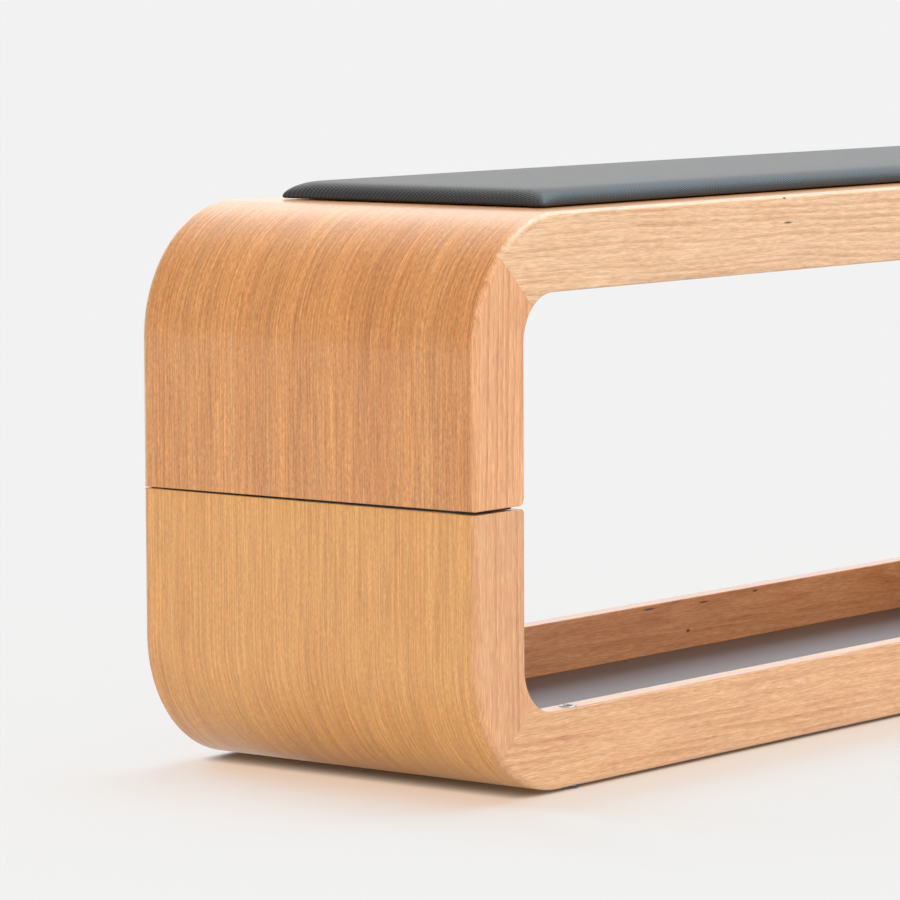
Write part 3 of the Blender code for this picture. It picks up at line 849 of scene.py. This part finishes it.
def add_pad(material):
    """The leatherette cover over the foam: its edge by rings, and its top by a grid."""
    low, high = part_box("pad_cover")
    points = []
    for inset, z in PAD_EDGE:
        ring = pad_ring(inset / 1000, low.z + z / 1000, high)
        points += ring
    count = len(ring)
    weave = unrolled(points, count)
    points = drawn(points, low, high)
    faces = loft_faces(len(PAD_EDGE), count)
    inner = faces.pop(1)
    mesh = bpy.data.meshes.new("pad_cover")
    bm = bmesh.new()
    flat = bm.verts.layers.float_vector.new("weave")
    verts = [bm.verts.new(p) for p in points]
    for vert, place in zip(verts, weave):
        vert[flat] = place
    for face in faces:
        bm.faces.new([verts[k] for k in face])
    fill_crown(bm, [verts[k] for k in inner], flat)
    bmesh.ops.recalc_face_normals(bm, faces=bm.faces)
    bm.to_mesh(mesh)
    bm.free()
    mesh.shade_smooth()
    mesh.materials.append(material)
    piece = bpy.data.objects.new("pad_cover_leatherette", mesh)
    bpy.context.scene.collection.objects.link(piece)
    finish_piece(piece, "upper_half", "leatherette", "pad_cover", "pad_foam")
    return piece


def fill_crown(bm, ring, flat):
    """A grid over the pad's middle, between the last ring's four sides."""
    ends, across, along = PAD_CORNER_STEPS, PAD_ACROSS, PAD_ALONG
    half = ends // 2
    # the ring starts at the front right corner and runs by the right, rear, left and front sides
    ring = ring[half:] + ring[:half]
    right = ring[: across + ends + 1]
    rear = ring[across + ends : across + ends + along + ends + 1]
    left = ring[across + along + 2 * ends : 2 * across + along + 3 * ends + 1]
    front = ring[2 * across + along + 3 * ends :] + [ring[0]]
    rows = [front]
    steps = len(right) - 1
    for k in range(1, steps):
        share = k / steps
        start, end = left[steps - k], right[k]
        row = [start]
        for i in range(1, len(front) - 1):
            below, above = front[i], rear[len(rear) - 1 - i]
            place = below.co.lerp(above.co, share)
            vert = bm.verts.new(place)
            vert[flat] = (place.x, place.y, 0.0)
            row.append(vert)
        row.append(end)
        rows.append(row)
    rows.append(rear[::-1])
    for lower, upper in zip(rows, rows[1:]):
        for i in range(len(lower) - 1):
            bm.faces.new((lower[i], lower[i + 1], upper[i + 1], upper[i]))


def unrolled(points, count):
    """Plan coordinates as if the cover were laid flat: what hangs down at the edge lies outwards."""
    points = np.asarray(points).reshape(len(PAD_EDGE), count, 3)
    flat = points[:, :, :2].copy()
    outward = points[PAD_WIDEST, :, :2] - points[-1, :, :2]
    outward /= np.abs(outward).max(axis=1, keepdims=True)
    gone = 0.0
    for k in range(len(PAD_EDGE) - 2, -1, -1):
        gone += np.hypot(*(np.subtract(PAD_EDGE[k], PAD_EDGE[k + 1]))) / 1000
        flat[k] = points[-1, :, :2] + outward * gone
    return np.concatenate([flat, np.zeros((len(PAD_EDGE), count, 1))], axis=2).reshape(-1, 3)


add_pad(make_leatherette())


# ---- camera, floor and light ----


# The camera, from the bench's lower front left corner: its yaw is from straight on to the right.
CAMERA_FROM_CORNER = Vector((-2.8833, -2.2499, 0.6266))
CAMERA_YAW, CAMERA_PITCH, CAMERA_ROLL = radians(51.747), radians(5.647), radians(-0.2613)
CAMERA_LENS, CAMERA_SENSOR = 201.16, 36.0
CAMERA_SIGHT = 1000.0


def add_camera():
    corner = Vector((-HALF_LENGTH, -HALF_DEPTH, WOOD_BOTTOM))
    forward = Vector(
        (sin(CAMERA_YAW) * cos(CAMERA_PITCH), cos(CAMERA_YAW) * cos(CAMERA_PITCH), -sin(CAMERA_PITCH))
    )
    level = Vector((cos(CAMERA_YAW), -sin(CAMERA_YAW), 0.0))
    upright = level.cross(forward)
    right = cos(CAMERA_ROLL) * level + sin(CAMERA_ROLL) * upright
    up = -sin(CAMERA_ROLL) * level + cos(CAMERA_ROLL) * upright
    data = bpy.data.cameras.new("camera")
    data.lens = CAMERA_LENS
    data.sensor_width = CAMERA_SENSOR
    data.clip_end = CAMERA_SIGHT
    camera = bpy.data.objects.new("camera", data)
    turn = Matrix((right, up, -forward)).transposed()
    camera.matrix_world = Matrix.Translation(corner + CAMERA_FROM_CORNER) @ turn.to_4x4()
    bpy.context.scene.collection.objects.link(camera)
    bpy.context.scene.camera = camera


# Studio lights: azimuth (0 in front, 90 to the right), elevation, strength, softness in degrees, colour.
LIGHTS = {
    "key": (12, 50, 0.3, 50, (1.0, 1.0, 1.0)),
    "front": (8, 14, 0.9, 50, (1.0, 1.0, 1.0)),
    "end": (-72, 18, 1.30, 55, (1.0, 1.0, 1.0)),
    "window": (66, 56, 2.4, 55, (0.64, 0.88, 1.06)),
    "back": (155, 36, 0.3, 46, (1.0, 0.98, 0.96)),
    "low_back": (130, 22, 0.3, 46, (1.0, 0.965, 0.935)),
    "top": (60, 85, 0.4, 70, (1.0, 1.0, 1.0)),
}
# Lights that fall on the paper only, for the soft warm shadows of the lower half.
PAPER_LIGHTS = {
    "paper_back": (180, 40, 4.0, 40, (0.18, 0.65, 1.0)),
    "paper_right": (95, 72, 2.4, 44, (0.30, 0.75, 1.0)),
}
# Soft light over the rear rail into the tray, which it shades near itself.
TRAY_LIGHT = (180, 26, 15.0, 48, (0.84, 0.93, 1.04))
# The sky's strength, its extra glow towards one place with the lobe's start and full cosines, and
# the plain white that the camera sees instead.
SKY = 0.48
SKY_GLOW = 0.4
GLOW_PLACE = (128, 12)
GLOW_LOBE = (0.45, 0.98)
SHOWN_WHITE = 0.887
# The paper's own grey, and the light that it gives off. Its warm colour is left where the paper lights are blocked,
# standing in for warm light bounced off the wood. Within a short reach of a piece this glow falls off with how open
# the paper is there: a painted contact shadow, which makes the dark line of contact.
PAPER_COLOUR = 0.25
PAPER_GLOW = (0.662, 0.486, 0.365)
PAPER_SHADE_REACH = 0.018
PAPER_OPENNESS = (0.05, 0.60)
# The pale floor below, and half the width of both.
FLOOR_LEVEL = -0.040
FLOOR_COLOUR = (0.75, 0.74, 0.73)
FLOOR_REACH = 150.0


def towards(azimuth, elevation):
    """The direction of a place in the sky, in degrees."""
    a, e = radians(azimuth), radians(elevation)
    return Vector((sin(a) * cos(e), -cos(a) * cos(e), sin(e)))


def add_sun(name, azimuth, elevation, strength, softness, colour):
    """One of the studio's lights, far off and as wide as its softness."""
    data = bpy.data.lights.new(name, "SUN")
    data.energy = strength
    data.angle = radians(softness)
    data.color = colour
    sun = bpy.data.objects.new(name, data)
    sun.rotation_euler = towards(azimuth, elevation).to_track_quat("Z", "Y").to_euler()
    bpy.context.scene.collection.objects.link(sun)
    return sun


def linked(name, objects, state):
    """A collection that takes in, or leaves out, some objects in a light's linking."""
    made = bpy.data.collections.new(name)
    for each in objects:
        made.objects.link(each)
    for each in made.collection_objects:
        each.light_linking.link_state = state
    return made


def add_world():
    """An even pale sky that glows behind the bench, seen as plain white paper."""
    world = bpy.data.worlds.new("studio")
    bpy.context.scene.world = world
    world.use_nodes = True
    tree = world.node_tree
    background = tree.nodes["Background"]
    direction = tree.nodes.new("ShaderNodeTexCoord").outputs["Generated"]
    facing = tree.nodes.new("ShaderNodeVectorMath")
    facing.operation = "DOT_PRODUCT"
    tree.links.new(direction, facing.inputs[0])
    facing.inputs[1].default_value = towards(*GLOW_PLACE)
    lobe = tree.nodes.new("ShaderNodeMapRange")
    lobe.interpolation_type = "SMOOTHSTEP"
    for socket, value in zip(list(lobe.inputs)[1:5], (*GLOW_LOBE, SKY, SKY + SKY_GLOW)):
        socket.default_value = value
    tree.links.new(facing.outputs["Value"], lobe.inputs[0])
    seen = tree.nodes.new("ShaderNodeMix")
    seen.data_type = "FLOAT"
    path = tree.nodes.new("ShaderNodeLightPath")
    tree.links.new(path.outputs["Is Camera Ray"], seen.inputs[0])
    tree.links.new(lobe.outputs[0], seen.inputs[2])
    seen.inputs[3].default_value = SHOWN_WHITE
    tree.links.new(seen.outputs[0], background.inputs["Strength"])
    background.inputs["Color"].default_value = (1.0, 1.0, 1.0, 1.0)


def add_plane(name, level, material):
    """A level sheet of the studio, which isn't part of the bench."""
    corners = [(x * FLOOR_REACH, y * FLOOR_REACH, level) for x, y in ((-1, -1), (1, -1), (1, 1), (-1, 1))]
    plane = add_mesh(name, corners, [(0, 1, 2, 3)], material)
    return plane


def add_floor():
    """White paper that the camera sees from above, on a pale floor that lights the bench from below."""
    s = Shader("studio_paper")
    s.set(Base_Color=(PAPER_COLOUR, PAPER_COLOUR, PAPER_COLOUR, 1.0), Roughness=1.0, Specular_IOR_Level=0.0)
    # painted contact shadow: the paper's glow is dimmed where ambient occlusion finds a piece close by
    near = s.node("ShaderNodeAmbientOcclusion", (1.0, 1.0, 1.0, 1.0), PAPER_SHADE_REACH, samples=12).outputs["AO"]
    s.set(Emission_Color=(*PAPER_GLOW, 1.0), Emission_Strength=s.step(near, *PAPER_OPENNESS, kind="LINEAR"))
    behind = s.node("ShaderNodeNewGeometry").outputs["Backfacing"]
    clear = s.node("ShaderNodeBsdfTransparent").outputs[0]
    seen = s.node("ShaderNodeMixShader", behind, s.surface.outputs[0], clear).outputs[0]
    s.put(s.tree.nodes["Material Output"].inputs["Surface"], seen)
    paper = add_plane("studio_paper", 0.0, s.material)
    paper.visible_diffuse = paper.visible_glossy = paper.visible_shadow = False
    s = Shader("studio_floor")
    s.set(Base_Color=(*FLOOR_COLOUR, 1.0), Roughness=1.0, Specular_IOR_Level=0.0)
    under = add_plane("studio_floor", FLOOR_LEVEL, s.material)
    under.visible_camera = False
    return paper


def add_lights(paper):
    """The studio's lights, those for the paper and the one for the tray, each with its linking."""
    not_paper = linked("all_but_paper", [paper], "EXCLUDE")
    for name, settings in LIGHTS.items():
        add_sun(name, *settings).light_linking.receiver_collection = not_paper
    only_paper = linked("paper_only", [paper], "INCLUDE")
    low = ("lower_front_rail_oak", "lower_rear_rail_oak", "lower_veneer_oak", "tray_base")
    shading = linked("shading_paper", [bpy.data.objects[name] for name in low], "INCLUDE")
    for name, settings in PAPER_LIGHTS.items():
        sun = add_sun(name, *settings)
        sun.light_linking.receiver_collection = only_paper
        sun.light_linking.blocker_collection = shading
    only_tray = linked("tray_only", [bpy.data.objects["tray_liner"]], "INCLUDE")
    add_sun("tray", *TRAY_LIGHT).light_linking.receiver_collection = only_tray


add_camera()
add_world()
add_lights(add_floor())
bpy.context.scene.view_settings.view_transform = "Standard"
